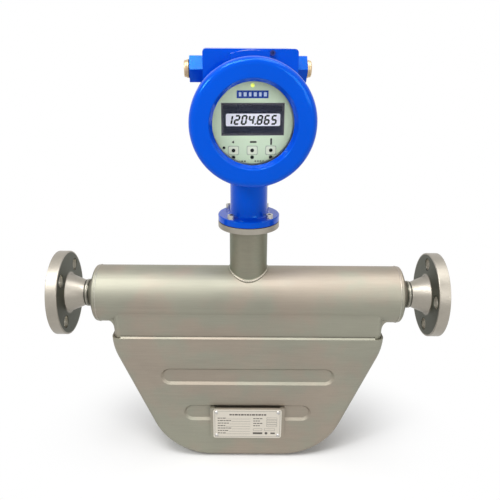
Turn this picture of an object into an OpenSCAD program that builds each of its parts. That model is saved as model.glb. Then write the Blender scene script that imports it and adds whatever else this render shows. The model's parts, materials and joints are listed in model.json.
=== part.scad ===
// Twin-tube coriolis mass flow meter with a round explosion-proof transmitter head.
//
// Lengths are in millimetres. The origin is the centre of the inlet flange's raised face.
// +X is the direction of flow, +Z points up to the transmitter and -Y is the display side.

/* [Process connections] */
// Length over the raised faces of both pipe flanges
face_to_face = 493; // [483:1:503]
// Outside diameter of the pipe flanges
flange_d = 108; // [104:1:112]
// Thickness of a pipe flange with its raised face
flange_t = 15.5; // [14.3:0.1:17.3]
// Diameter of the flange bolt circle
bolt_circle_d = 79.4; // [78:0.1:81]
// Diameter of the flange bolt holes
bolt_hole_d = 15.9; // [14:0.1:17]
// Bolts in each pipe flange
bolt_count = 4; // [4]
// Turn of the inlet flange's bolt holes from the straddling position, degrees
inlet_hole_turn = 0; // [-45:1:45]
// Turn of the outlet flange's bolt holes from the straddling position, degrees
outlet_hole_turn = 34; // [-45:1:45]
// Outside diameter of the process pipe
pipe_d = 33.4; // [33:0.1:34]
// Bore of the process pipe
pipe_bore = 26.6; // [24:0.1:28]

/* [Sensor housing] */
// Outside diameter of the horizontal housing tube
housing_d = 73; // [72:0.5:74]
// Wall of the housing tube
housing_wall = 2.8; // [2.5:0.1:3]
// Half length of the housing tube
housing_half = 194; // [192:1:196]
// Outside diameter of the stem that carries the head
stem_d = 47; // [45:0.5:49]

/* [Case] */
// Half width of the pressed pan at its top
pan_half = 174.5; // [173:0.5:176]
// Depth of the pan below the pipe axis
pan_drop = 236; // [234:1:240]
// Half thickness of the pan from its seam to the flat face
pan_depth = 36; // [35:0.5:37]
// Radius of the pan's front edge
pan_edge_r = 10; // [8:0.5:12]
// Slope of the pan's sides from the vertical, degrees
pan_slope = 22; // [20:0.5:23]
// Radius of the pan's bottom corners
pan_corner_r = 85; // [75:1:90]
// Sheet thickness of the case
sheet_t = 2.5; // [2:0.1:2.6]
// Depth of the stiffening beads pressed into the pan
bead_depth = 3.2; // [2:0.1:3.5]

/* [Flow tubes] */
// Outside diameter of each flow tube
flow_tube_d = 17.2; // [16:0.1:17.4]
// Wall of each flow tube
flow_tube_wall = 1.6; // [1.2:0.1:2]
// Distance of each flow tube's axis from the middle plane
flow_tube_y = 15.5; // [15.2:0.1:16]
// Bend radius of the flow tubes
flow_bend_r = 45; // [40:1:50]
// Depth of the flow tubes' bottom run below the pipe axis
flow_tube_drop = 206; // [204:1:208]

/* [Transmitter head] */
// Height of the head's axis above the pipe axis
head_z = 224.3; // [223:0.1:227]
// Turn of the head about its neck, degrees
head_turn = 4.5; // [-30:0.5:30]
// Outside diameter of the front cover
cover_d = 137.2; // [135:0.2:139]
// Diameter of the window opening at the glass
window_d = 87; // [84:0.5:88]
// Depth of the cover threads' engagement
thread_len = 18; // [17:0.5:19]
// Width of the terminal box on top of the head
box_w = 105; // [104:0.5:110]
// Height of the terminal box's top above the pipe axis
box_top = 299; // [298:0.5:302]
// Distance across flats of the hexagonal cable bosses
boss_af = 29; // [28:0.5:30]

/* [Hidden] */
$fn = 96;

mid_x = face_to_face / 2;
slip = 0.3;                 // clearance between parts that move past each other
over = 0.5;                 // how far a cutting tool runs past the surface it cuts

// Sections along the process connection, measured from mid length
flange_back = mid_x - flange_t;
raised_face_d = 50.8;
raised_face_t = 1.6;
hub_base_r = 25;
hub_end = 209.5;
nozzle_r = pipe_d / 2;
cap_length = 8.5;
cap_end = housing_half + cap_length;

// Housing tube and case
housing_r = housing_d / 2;
housing_bore_r = housing_r - housing_wall;
tube_end = housing_half - 0.9;  // the tube stops here and its end caps begin
saddle_half = pan_half - sheet_t - 0.5;
saddle_depth = pan_depth - sheet_t - 0.5;
saddle_fillet = 9.5;
runout_r = 20;               // radius of the run-out from the saddle's wall into the tube
pan_top = -48;
lap = 8;                    // how far the saddle reaches down inside the pan
upper_bead = [-104.5, 101.5, 12.5];  // height, half length to the end's centre, half width
lower_bead = [-161.5, 73, 12.5];

// Flow tubes: the legs run parallel to the sides of the pan
tube_r = flow_tube_d / 2;
tube_bore_r = tube_r - flow_tube_wall;
bend_thinning = 0.05;       // the wall draws down a little in the bends
corner_x = 89;
bend_sweep = 90 - pan_slope;
bend_tangent = flow_bend_r * tan(bend_sweep / 2);
bottom_half = corner_x - bend_tangent;
root_z = -24;
brace_z = -62;
pickoff_z = -125;
splitter_r = housing_bore_r - 0.2;
splitter_inner = 145;
splitter_outer = 192;
function leg_x(z) = -corner_x + (z + flow_tube_drop) * -tan(pan_slope);

// Neck joint and head
stem_flange_z = 93.7;
stem_flange_t = 7;
neck_flange_r = 37.5;
neck_screw_circle_r = 32.2;
gasket_t = 0.8;
neck_z = stem_flange_z + stem_flange_t + gasket_t;
neck_flange_top = 109.4;
neck_r = 22.6;
neck_bore_r = 12;

// Stations of the head along its own Y axis, from the display side to the back
cover_front_y = -62;
collar_y = -40;             // front cover and housing collar meet here
front_floor_y = 14;
rear_floor_y = 19;
rear_collar_y = 62;
rear_cover_back_y = 80;
thread_r = 56;
rear_thread_r = 52;
collar_r = 66.5;
rear_collar_r = 61;
chamber_r = 54;
rear_chamber_r = 49;
glass_r = 49;
glass_t = 8;
glass_front_y = cover_front_y + 8;
faceplate_y = -40;
faceplate_t = 1.5;
faceplate_r = 50.5;
board_r = 50;
board_t = 1.6;
display_board_y = -31.6;
main_board_y = -17.6;
power_board_y = -3.6;
column_r = 47;
boss_y = 26;
boss_z = 276.4;
boss_end = 67.5;
boss_bore_r = 8.2;
box_front_y = -14;
box_back_y = 54;
screen = [66, 33];
screen_z = 227;
key_pitch = 20.6;

// ---------- Placing ----------

// The middle of the meter, on the pipe axis
module at_middle() translate([mid_x, 0, 0]) children();

// The head's own frame: its +Y axis runs from the display to the rear cover
module in_head() at_middle() rotate([0, 0, head_turn]) children();

// A child drawn along +Z from z = 0 comes to lie along +Y from the given place on the head's axis
module along_y(y) translate([0, y, head_z]) rotate([-90, 0, 0]) children();

// A child drawn along +Z comes to lie along +X, or along -X where side is -1
module along_x(side) rotate([0, side * 90, 0]) children();

// The outlet half is the mirror image of the inlet half
module outlet_side() mirror([1, 0, 0]) children();

module ring(r, bore_r, h) difference() {
    cylinder(r = r, h = h);
    translate([0, 0, -over]) cylinder(r = bore_r, h = h + 2 * over);
}

// ---------- Outlines and lofts ----------

function unit(v) = v / norm(v);

// Points of the arc that rounds corner b between a and c with radius r
function corner_arc(a, b, c, r, steps) =
    let (u = unit(a - b), v = unit(c - b), half = acos(u * v) / 2,
         centre = b + unit(u + v) * r / sin(half),
         p = b + u * r / tan(half) - centre, q = b + v * r / tan(half) - centre,
         from = atan2(p[1], p[0]), turn = atan2(q[1], q[0]) - from,
         sweep = turn > 180 ? turn - 360 : turn < -180 ? turn + 360 : turn)
    [for (k = [0:steps]) centre + r * [cos(from + sweep * k / steps), sin(from + sweep * k / steps)]];

// A closed outline from corners [x, z, radius, steps]
function rounded(corners) = let (n = len(corners)) [
    for (i = [0:n - 1])
        let (a = corners[(i + n - 1) % n], b = corners[i], c = corners[(i + 1) % n])
        each corner_arc([a[0], a[1]], [b[0], b[1]], [c[0], c[1]], b[2], b[3])
];

// The outline moved inwards by d (anticlockwise outlines)
function inset(points, d) = let (n = len(points)) [
    for (i = [0:n - 1])
        let (e = unit(points[i] - points[(i + n - 1) % n]), f = unit(points[(i + 1) % n] - points[i]),
             ne = [-e[1], e[0]], m = unit(ne + [-f[1], f[0]]))
        points[i] + m * d / (m * ne)
];

// Rings [inset, depth] that run from the seam to the flat face over an edge of radius r
function edge_rings(depth, r, steps) = concat(
    [[0, 0]],
    [for (k = [0:steps]) [r * (1 - cos(90 * k / steps)), depth - r * (1 - sin(90 * k / steps))]]
);

// Solid between an outline's successive insets, growing from y = 0 towards -Y
module lofted(outline, rings) {
    n = len(outline);
    m = len(rings);
    points = [for (g = rings) for (p = inset(outline, g[0])) [p[0], -g[1], p[1]]];
    walls = [for (k = [0:m - 2]) for (i = [0:n - 1])
        [k * n + i, (k + 1) * n + i, (k + 1) * n + (i + 1) % n, k * n + (i + 1) % n]];
    back = [for (i = [0:n - 1]) i];
    front = [for (i = [n - 1:-1:0]) (m - 1) * n + i];
    polyhedron(points, concat(walls, [back, front]));
}

// ---------- Process connections ----------

// Weld-neck flange along +Z with its back at z = 0 and its hub towards -Z
module pipe_flange(hole_turn) color("silver") difference() {
    rotate_extrude() polygon([
        [0, hub_end - flange_back],
        [nozzle_r, hub_end - flange_back],
        [nozzle_r, hub_end - flange_back + 2],
        [hub_base_r - 1.5, -3],
        [hub_base_r, 0],
        [flange_d / 2 - 0.6, 0],
        [flange_d / 2, 0.6],
        [flange_d / 2, flange_t - raised_face_t],
        [raised_face_d / 2, flange_t - raised_face_t],
        [raised_face_d / 2, flange_t],
        [0, flange_t]
    ]);
    translate([0, 0, -60]) cylinder(d = pipe_bore, h = 100);
    for (k = [0:bolt_count - 1]) rotate([0, 0, 360 * (k + 0.5) / bolt_count + hole_turn])
        translate([bolt_circle_d / 2, 0, -over]) cylinder(d = bolt_hole_d, h = flange_t + 2 * over);
}

module inlet_flange() at_middle()
    translate([-flange_back, 0, 0]) along_x(-1) pipe_flange(inlet_hole_turn);

module outlet_flange() at_middle()
    translate([flange_back, 0, 0]) along_x(1) pipe_flange(outlet_hole_turn);

// Pipe stub and flow splitter of the inlet side: one bore parts into two, one for each flow tube
module splitter() color("silver") difference() {
    union() {
        translate([-splitter_inner, 0, 0]) along_x(-1)
            cylinder(r = splitter_r, h = splitter_outer - splitter_inner);
        translate([-splitter_inner, 0, 0]) along_x(-1) cylinder(r = nozzle_r, h = hub_end - splitter_inner);
        translate([-cap_end - 3, 0, 0]) along_x(-1) cylinder(r = nozzle_r + 0.9, h = 2.6);
    }
    translate([leg_x(root_z) - 6, 0, 0]) {
        sphere(d = pipe_bore);
        along_x(-1) cylinder(d = pipe_bore, h = 80);
    }
    for (side = [-1, 1]) {
        branch = [leg_x(root_z), side * flow_tube_y, root_z] - [leg_x(root_z) - 6, 0, 0];
        translate([leg_x(root_z) - 6, 0, 0])
            rotate([0, acos(branch[2] / norm(branch)), atan2(branch[1], branch[0])])
            cylinder(r = tube_bore_r, h = norm(branch) + 1);
        translate([leg_x(root_z), side * flow_tube_y, root_z])
            rotate([0, 180 - pan_slope, 0])
            translate([0, 0, -slip]) cylinder(r = tube_r + slip, h = 30);
    }
    // relief between the two roots, open towards the case
    translate([-splitter_inner - 8, 0, -splitter_r]) cube([20, 9, 20], center = true);
}

module inlet_splitter() at_middle() splitter();
module outlet_splitter() at_middle() rotate([0, 0, 180]) splitter();

// ---------- Sensor housing ----------

module housing_tube() color("silver") at_middle() difference() {
    translate([-tube_end, 0, 0]) along_x(1) ring(housing_r, housing_bore_r, 2 * tube_end);
    cylinder(d = stem_d - 6, h = housing_r + over);
    translate([-saddle_half + 1, -27, -housing_r - over]) cube([2 * saddle_half - 2, 54, housing_r]);
}

// Spun end cap of the inlet side, with the weld that joins it to the pipe stub
module end_cap() color("silver") along_x(-1) rotate_extrude() polygon([
    [nozzle_r, cap_length + 0.9],
    [nozzle_r, cap_length - 3.4],
    [housing_bore_r, -1.6],
    [housing_bore_r, tube_end - housing_half],
    [housing_r, tube_end - housing_half],
    [housing_r - 0.6, 0.7],
    [housing_r - 2, 1.7],
    [nozzle_r + 2.2, cap_length - 0.6],
    [nozzle_r + 1.2, cap_length + 0.6]
]);

module inlet_end_cap() at_middle() translate([-housing_half, 0, 0]) end_cap();
module outlet_end_cap() at_middle() rotate([0, 0, 180]) translate([-housing_half, 0, 0]) end_cap();

module stem_tube() color("silver") at_middle() difference() {
    union() {
        cylinder(d = stem_d, h = stem_flange_z);
        // weld bead that follows the saddle line
        intersection() {
            cylinder(d = stem_d + 4, h = stem_flange_z);
            translate([-stem_d, 0, 0]) along_x(1) cylinder(r = housing_r + 1.6, h = 2 * stem_d);
        }
    }
    cylinder(d = stem_d - 6, h = stem_flange_z + over);
    translate([-stem_d, 0, 0]) along_x(1) cylinder(r = housing_r, h = 2 * stem_d);
}

module stem_flange() color("silver") in_head() difference() {
    translate([0, 0, stem_flange_z]) {
        cylinder(r = neck_flange_r, h = stem_flange_t);
        translate([0, 0, -1.6]) ring(stem_d / 2 + 2, stem_d / 2, 1.6);
    }
    translate([0, 0, stem_flange_z - over]) cylinder(r = 17, h = stem_flange_t + 2 * over);
    neck_screw_places() cylinder(r = 2.5, h = 40, center = true);
}

module neck_screw_places() for (k = [0:3]) rotate([0, 0, 45 + 90 * k])
    translate([neck_screw_circle_r, 0, neck_flange_top]) children();

pin_circle_r = 9;
module pin_places() for (k = [0:8]) rotate([0, 0, 40 * k])
    translate([pin_circle_r, 0, stem_flange_z + 2]) children();

module feedthrough_disc() color("dimgray") in_head() difference() {
    translate([0, 0, stem_flange_z + 1]) cylinder(r = 17, h = 4);
    pin_places() cylinder(r = 0.6, h = 20, center = true);
}

module feedthrough_pins() color("gold") in_head()
    pin_places() cylinder(r = 0.6, h = 14, center = true);

// ---------- Case ----------

// Outline of the pan in x and z, anticlockwise; the part above pan_top is cut away afterwards
function pan_outline() =
    let (slant_x = pan_half - (pan_drop - 64) * tan(pan_slope)) rounded([
        [slant_x, -pan_drop, pan_corner_r, 14],
        [pan_half, -64, 80, 4],
        [pan_half, pan_top + 30, 3, 1],
        [-pan_half, pan_top + 30, 3, 1],
        [-pan_half, -64, 80, 4],
        [-slant_x, -pan_drop, pan_corner_r, 14]
    ]);

module stadium(bead, grow) hull() for (side = [-1, 1])
    translate([side * bead[1], bead[0]]) circle(r = bead[2] + grow, $fn = 32);

// Tapered form of a bead from the flat face inwards, thicker all round by wall
module bead_form(bead, wall) {
    reach = bead_depth + wall;
    hull() {
        translate([0, -pan_depth + reach, 0]) rotate([90, 0, 0])
            linear_extrude(0.01) stadium(bead, wall - bead_depth);
        translate([0, -pan_depth - over, 0]) rotate([90, 0, 0])
            linear_extrude(0.01) stadium(bead, wall * 0.4 + over);
    }
}

// Half of the case: pressed sheet with two stiffening beads and a welded step at its top edge
module pan() color("silver") {
    translate([-pan_half + 12, 0, 0]) rotate([90, 0, 90]) linear_extrude(2 * pan_half - 24) polygon([
        [-pan_depth, pan_top - 0.5], [-pan_depth, pan_top], [-saddle_depth - 0.6, pan_top + 2.6],
        [-saddle_depth - 0.1, pan_top + 2.6], [-saddle_depth - 0.1, pan_top - 0.5]
    ]);
    pan_sheet();
}

module pan_sheet() difference() {
    union() {
        difference() {
            lofted(pan_outline(), edge_rings(pan_depth, pan_edge_r, 5));
            translate([0, over, 0]) lofted(inset(pan_outline(), sheet_t),
                edge_rings(pan_depth - sheet_t + over, pan_edge_r - sheet_t, 4));
        }
        intersection() {
            union() {
                bead_form(upper_bead, sheet_t);
                bead_form(lower_bead, sheet_t);
            }
            translate([-pan_half, -pan_depth, -pan_drop]) cube([2 * pan_half, pan_depth, pan_drop]);
        }
    }
    bead_form(upper_bead, 0);
    bead_form(lower_bead, 0);
    translate([-pan_half - over, -pan_depth - over, pan_top])
        cube([2 * pan_half + 2 * over, pan_depth + 2 * over, 40]);
}

module case_front_pan() at_middle() pan();
module case_rear_pan() at_middle() mirror([0, 1, 0]) pan();

// Section in y and z of the run-out that carries the saddle's wall into the tube
function runout_section() =
    let (out = saddle_depth + runout_r, down = sqrt(pow(housing_r + runout_r, 2) - pow(out, 2)),
         sweep = atan2(down, out))
    concat(
        [[-saddle_depth + sheet_t, -down]],
        [for (k = [0:5]) [-out + runout_r * cos(sweep * k / 5), -down + runout_r * sin(sweep * k / 5)]
                         + (k == 5 ? [0.3, 0] : [0, 0])],
        [[-saddle_depth + sheet_t, -8]]
    );

// Welded collar between the housing tube and the pans, with flared ends under the tube
module case_saddle() color("silver") at_middle() difference() {
    union() {
        translate([0, 0, pan_top - lap]) linear_extrude(-8 - pan_top + lap) polygon(rounded([
            [saddle_half, -saddle_depth, 8, 4], [saddle_half, saddle_depth, 8, 4],
            [-saddle_half, saddle_depth, 8, 4], [-saddle_half, -saddle_depth, 8, 4]
        ]));
        for (side = [0, 1]) mirror([0, side, 0])
            translate([-saddle_half + 8, 0, 0]) rotate([90, 0, 90])
            linear_extrude(2 * saddle_half - 16) polygon(runout_section());
        intersection() {
            for (side = [-1, 1]) translate([side * (saddle_half + saddle_fillet), 0, 0])
                rotate([0, -side * 90, 0]) rotate_extrude() polygon(concat(
                    [[0, 0], [housing_r - 0.3, 0]],
                    [for (t = [15:15:90]) [housing_r + saddle_fillet * (1 - cos(t)), saddle_fillet * sin(t)]],
                    [[housing_r + saddle_fillet, saddle_fillet + 5], [0, saddle_fillet + 5]]
                ));
            translate([-250, -26, -60]) cube([500, 52, 42]);
        }
    }
    translate([-saddle_half + sheet_t, -saddle_depth + sheet_t, pan_top - lap - over])
        cube([2 * (saddle_half - sheet_t), 2 * (saddle_depth - sheet_t), 80]);
    translate([-250, 0, 0]) along_x(1) cylinder(r = housing_r, h = 500);
}

// ---------- Nameplate ----------

plate_w = 92;
plate_h = 46;
plate_z = -176;
bracket_depth = 4;
module rivet_places() for (x = [-1, 1], z = [-1, 1])
    translate([x * (plate_w / 2 - 4.5), -pan_depth - bracket_depth, plate_z + z * (plate_h / 2 - 4.5)])
        rotate([90, 0, 0]) children();

// Bent sheet bracket that stands the nameplate off the pan's face
module nameplate_bracket() color("silver") at_middle() difference() {
    translate([-plate_w / 2 - 4, -pan_depth - bracket_depth, plate_z - plate_h / 2 - 2])
        cube([plate_w + 8, bracket_depth, plate_h + 4]);
    translate([-plate_w / 2 + 2, -pan_depth - bracket_depth + 1.5, plate_z - plate_h / 2 - 3])
        cube([plate_w - 4, bracket_depth, plate_h + 6]);
    translate([0, 20, 0]) rivet_places() cylinder(r = 1.2, h = 50, center = true);
}

module nameplate() color("lightgray") at_middle() difference() {
    translate([0, -pan_depth - bracket_depth, plate_z]) rotate([90, 0, 0])
        linear_extrude(0.8) polygon(rounded([
            [plate_w / 2, -plate_h / 2, 3, 4], [plate_w / 2, plate_h / 2, 3, 4],
            [-plate_w / 2, plate_h / 2, 3, 4], [-plate_w / 2, -plate_h / 2, 3, 4]
        ]));
    rivet_places() cylinder(r = 1.2, h = 20, center = true);
}

module nameplate_rivets() color("gray") at_middle() rivet_places() {
    translate([0, 0, -1.4]) cylinder(r = 1.2, h = 2.3);
    translate([0, 0, 0.8]) rotate_extrude() intersection() {
        translate([0, -1.6]) circle(r = 2.9);
        square([3, 2]);
    }
}

// ---------- Flow tubes and their sensors ----------

// Section of a flow tube with its wall thinned by t on both sides
module tube_section(t) difference() {
    circle(r = tube_r - t);
    circle(r = tube_bore_r + t);
}

// One tube: bottom run, two bends and two legs that reach up into the splitters
module flow_tube() color("gainsboro") {
    leg = (root_z + flow_tube_drop) / cos(pan_slope) - bend_tangent;
    lapped = 0.05;
    translate([-bottom_half - lapped, 0, -flow_tube_drop]) along_x(1)
        linear_extrude(2 * (bottom_half + lapped)) tube_section(0);
    for (side = [0, 1]) mirror([side, 0, 0]) {
        translate([-bottom_half, 0, flow_bend_r - flow_tube_drop]) rotate([90, 0, 0])
            rotate([0, 0, 180 + pan_slope]) rotate_extrude(angle = bend_sweep)
            translate([flow_bend_r, 0]) tube_section(bend_thinning);
        translate([-corner_x - bend_tangent * sin(pan_slope), 0,
                   bend_tangent * cos(pan_slope) - flow_tube_drop])
            rotate([0, -pan_slope, 0]) translate([0, 0, -lapped]) linear_extrude(leg + lapped) tube_section(0);
    }
}

module front_flow_tube() at_middle() translate([0, -flow_tube_y, 0]) flow_tube();
module rear_flow_tube() at_middle() translate([0, flow_tube_y, 0]) flow_tube();

// Brace plate across the inlet legs, brazed to the front tube
module brace_plate() color("gainsboro")
    translate([leg_x(brace_z), 0, brace_z]) rotate([0, -pan_slope, 0]) difference() {
        translate([0, 0, -1.25]) {
            for (side = [-1, 1]) translate([0, side * flow_tube_y, 0]) cylinder(r = 12, h = 2.5);
            translate([-12, -flow_tube_y, 0]) cube([24, 2 * flow_tube_y, 2.5]);
        }
        translate([0, -flow_tube_y, 0]) cylinder(r = tube_r, h = 10, center = true);
        translate([0, flow_tube_y, 0]) cylinder(r = tube_r + slip, h = 10, center = true);
    }

module inlet_brace_plate() at_middle() brace_plate();
module outlet_brace_plate() at_middle() outlet_side() brace_plate();

// Coil on a saddle foot; the tube it sits on runs along X at y = flow_tube_y
module coil(r) color("peru") difference() {
    union() {
        translate([0, 1, 0]) rotate([-90, 0, 0]) cylinder(r = r, h = 4.5);
        translate([-r, 5.4, -5]) cube([2 * r, 6, 10]);
    }
    rotate([90, 0, 0]) cylinder(r = r * 0.6, h = 12, center = true);
    translate([-30, flow_tube_y, 0]) along_x(1) cylinder(r = tube_r, h = 60);
}

// Magnet on a saddle foot; its tip reaches into the coil
module magnet(r) color("slategray") difference() {
    union() {
        translate([0, -8, 0]) rotate([-90, 0, 0]) cylinder(r = r * 0.4, h = 10.5);
        translate([-r, -11.4, -5]) cube([2 * r, 6, 10]);
    }
    translate([-30, -flow_tube_y, 0]) along_x(1) cylinder(r = tube_r, h = 60);
}

module at_drive() at_middle() translate([0, 0, -flow_tube_drop]) children();
module at_pickoff() translate([leg_x(pickoff_z), 0, pickoff_z]) rotate([0, 90 - pan_slope, 0]) children();

module drive_coil() at_drive() coil(8);
module drive_magnet() at_drive() magnet(8);
module inlet_pickoff_coil() at_middle() at_pickoff() coil(6);
module inlet_pickoff_magnet() at_middle() at_pickoff() magnet(6);
module outlet_pickoff_coil() at_middle() outlet_side() at_pickoff() coil(6);
module outlet_pickoff_magnet() at_middle() outlet_side() at_pickoff() magnet(6);

// Resistance thermometer clamped to the outer side of the rear tube's inlet leg
module temperature_sensor() color("white") at_middle()
    translate([leg_x(-90), 0, -90]) rotate([0, 90 - pan_slope, 0]) difference() {
        translate([-7, flow_tube_y + tube_r - 2, -3]) cube([14, 5, 6]);
        translate([-30, flow_tube_y, 0]) along_x(1) cylinder(r = tube_r, h = 60);
    }

// ---------- Head housing ----------

module neck_gasket() color("black") in_head() difference() {
    translate([0, 0, stem_flange_z + stem_flange_t]) ring(neck_flange_r - 0.5, 18, gasket_t);
    neck_screw_places() cylinder(r = 2.8, h = 40, center = true);
}

module cap_screw(head_r, head_h, shank_r, shank_h) {
    translate([0, 0, -shank_h]) cylinder(r = shank_r, h = shank_h);
    difference() {
        cylinder(r = head_r, h = head_h);
        translate([0, 0, head_h * 0.45]) cylinder(r = head_r * 0.55, h = head_h, $fn = 6);
    }
}

module neck_screws() color("lightgray") in_head() neck_screw_places() cap_screw(4.25, 5, 2.5, 14);

// Outline of the terminal box across the head, in x and z
function box_outline() = rounded([
    [-box_w / 2, head_z, 1, 1], [box_w / 2, head_z, 1, 1],
    [box_w / 2, box_top, 4, 5], [-box_w / 2, box_top, 4, 5]
]);

module cable_boss(side) translate([side * 40, boss_y, boss_z]) along_x(side) rotate([0, 0, 30])
    cylinder(d = boss_af / cos(30), h = boss_end - 40, $fn = 6);

// Raised lug over the collar that takes the lock screw
module lock_lug() intersection() {
    along_y(collar_y + 0.5) cylinder(r = box_top - head_z - 1, h = box_front_y - collar_y + 2);
    translate([-23, collar_y, box_top - 24]) cube([41, 40, 24]);
}

module housing_body() {
    rotate_extrude() polygon([
        [0, neck_z], [neck_flange_r - 0.6, neck_z], [neck_flange_r, neck_z + 0.6],
        [neck_flange_r, neck_flange_top - 1], [neck_flange_r - 1, neck_flange_top],
        [neck_r + 3.4, neck_flange_top], [neck_r + 1.4, neck_flange_top + 1], [neck_r + 0.5, neck_flange_top + 4],
        [neck_r, neck_flange_top + 14], [neck_r, neck_flange_top + 36], [neck_r + 1, head_z - 60],
        [neck_r + 1, head_z - 40], [0, head_z - 40]
    ]);
    along_y(collar_y + 0.5) rotate_extrude() polygon([
        [0, 0], [collar_r - 1, 0], [collar_r, 1], [collar_r, 22], [rear_collar_r, 28],
        [rear_collar_r, rear_collar_y - collar_y - 1], [rear_collar_r - 0.5, rear_collar_y - collar_y - 0.5],
        [0, rear_collar_y - collar_y - 0.5]
    ]);
    translate([0, box_back_y, 0]) rotate([90, 0, 0])
        linear_extrude(box_back_y - box_front_y) polygon(box_outline());
    for (side = [-1, 1]) cable_boss(side);
    lock_lug();
}

module head_housing() color("royalblue") in_head() difference() {
    housing_body();
    // front chamber with its threaded mouth and the seat of the O-ring
    along_y(collar_y) cylinder(r = 60, h = 4);
    along_y(collar_y) cylinder(r = thread_r + slip, h = thread_len + 3);
    along_y(collar_y) cylinder(r = chamber_r, h = front_floor_y - collar_y);
    // rear chamber, likewise
    along_y(rear_collar_y - 4) cylinder(r = 56, h = 4 + over);
    along_y(rear_collar_y - thread_len - 3) cylinder(r = rear_thread_r + slip, h = thread_len + 4);
    along_y(rear_floor_y) cylinder(r = rear_chamber_r, h = rear_collar_y - rear_floor_y);
    // terminal box, open to the rear chamber
    translate([-box_w / 2 + 5, rear_floor_y + 1, head_z + 20])
        cube([box_w - 10, box_back_y - rear_floor_y - 16, box_top - head_z - 26]);
    for (side = [-1, 1]) translate([side * (box_w / 2 - 10), boss_y, boss_z]) along_x(side)
        cylinder(r = boss_bore_r + 0.8, h = 40);
    // way for the sensor's leads through the neck and between the chambers
    translate([0, 0, neck_z - over]) cylinder(r = neck_bore_r, h = 80);
    translate([0, front_floor_y - over, head_z - 34]) rotate([-90, 0, 0]) cylinder(r = 5, h = 6 + over);
    neck_screw_places() cylinder(r = 2.8, h = 30, center = true);
    lock_screw_place() translate([0, 0, -8]) cylinder(r = 2.1, h = 12);
    earth_screw_place() translate([0, 0, -3]) cylinder(r = 2, h = 6);
}

module lock_screw_place() translate([23.5, box_front_y, box_top - 4.2]) rotate([90, 0, 0]) children();
module earth_screw_place() translate([-30, rear_floor_y, head_z - 22]) rotate([-90, 0, 0]) children();

module cover_lock_screw() color("dimgray") in_head() lock_screw_place() cap_screw(3, 2.4, 2, 8);
module earth_screw() color("goldenrod") in_head() earth_screw_place() cap_screw(4, 3, 2, 3);

// ---------- Front cover ----------

window_r = window_d / 2;

cover_edge_r = 7.5;
module front_cover() color("royalblue") in_head() along_y(cover_front_y) rotate_extrude() polygon(concat(
    [[window_r + 4, 0]],
    [for (t = [0:15:90]) [cover_d / 2 - cover_edge_r * (1 - sin(t)), cover_edge_r * (1 - cos(t))]],
    [
        [cover_d / 2, collar_y - cover_front_y - 1], [cover_d / 2 - 1, collar_y - cover_front_y],
        [thread_r, collar_y - cover_front_y], [thread_r, collar_y - cover_front_y + thread_len],
        [thread_r - 3.5, collar_y - cover_front_y + thread_len],
        [thread_r - 4, collar_y - cover_front_y - 2], [glass_r + 0.4, collar_y - cover_front_y - 2],
        [glass_r + 0.4, 8], [window_r, 8]
    ]
));

module window_glass() color("azure", 0.4) in_head() along_y(glass_front_y)
    cylinder(r = glass_r, h = glass_t);

module glass_retaining_ring() color("dimgray") in_head() along_y(glass_front_y + glass_t)
    ring(glass_r + 0.3, window_r, 3.6);

module front_cover_oring() color("black") in_head() along_y(collar_y + 2.2)
    rotate_extrude() translate([thread_r + 2, 0]) circle(r = 1.6);

// ---------- Rear cover ----------

module rear_cover() color("royalblue") in_head() along_y(rear_collar_y) rotate_extrude() polygon([
    [0, 12], [rear_thread_r - 4, 12], [rear_thread_r - 4, -thread_len], [rear_thread_r, -thread_len],
    [rear_thread_r, 0], [rear_collar_r + 1, 0], [rear_collar_r + 2, 1],
    [rear_collar_r + 2, rear_cover_back_y - rear_collar_y - 5],
    [rear_collar_r - 2, rear_cover_back_y - rear_collar_y], [0, rear_cover_back_y - rear_collar_y]
]);

module rear_cover_oring() color("black") in_head() along_y(rear_collar_y - 2.1)
    rotate_extrude() translate([rear_thread_r + 2, 0]) circle(r = 1.6);

// ---------- Display and electronics ----------

// Disc of the electronics stack with its three column holes
module stack_disc(y, r, t, hole_r) along_y(y) difference() {
    cylinder(r = r, h = t);
    column_places() cylinder(r = hole_r, h = 20, center = true);
}

module column_places() for (k = [0:2]) rotate([0, 0, 90 + 120 * k]) translate([column_r, 0, 0]) children();

module key_places() for (column = [-1:1], row = [0, 1])
    translate([column * key_pitch, faceplate_y, head_z - 30 - 7.8 * row]) rotate([-90, 0, 0]) children();

module led_place() translate([0, faceplate_y, head_z + 38.7]) rotate([-90, 0, 0]) children();

module faceplate() color("beige") in_head() difference() {
    stack_disc(faceplate_y, faceplate_r, faceplate_t, 1.6);
    translate([-screen[0] / 2, faceplate_y - over, screen_z - screen[1] / 2])
        cube([screen[0], faceplate_t + 2 * over, screen[1]]);
    key_places() cylinder(r = 2, h = 10, center = true);
    led_place() cylinder(r = 2, h = 10, center = true);
}

module faceplate_screws() color("silver") in_head() along_y(faceplate_y) column_places()
    rotate([180, 0, 0]) cap_screw(2.6, 1.8, 1.5, 5);

module display_module() color("darkslategray") in_head() {
    translate([-36, faceplate_y + faceplate_t, screen_z - 19])
        cube([72, display_board_y - faceplate_y - faceplate_t, 38]);
    translate([-screen[0] / 2 + 0.2, faceplate_y + 0.4, screen_z - screen[1] / 2 + 0.2])
        cube([screen[0] - 0.4, faceplate_t - 0.4 + 0.001, screen[1] - 0.4]);
}

module status_led() color("yellow") in_head() led_place() {
    translate([0, 0, 0.6]) cylinder(r = 1.95, h = display_board_y - faceplate_y - 0.6);
    translate([0, 0, 0.6]) sphere(r = 1.95);
}

module key_windows() color("black") in_head() key_places()
    translate([0, 0, 0.2]) cylinder(r = 2, h = display_board_y - faceplate_y - 0.2);

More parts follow.
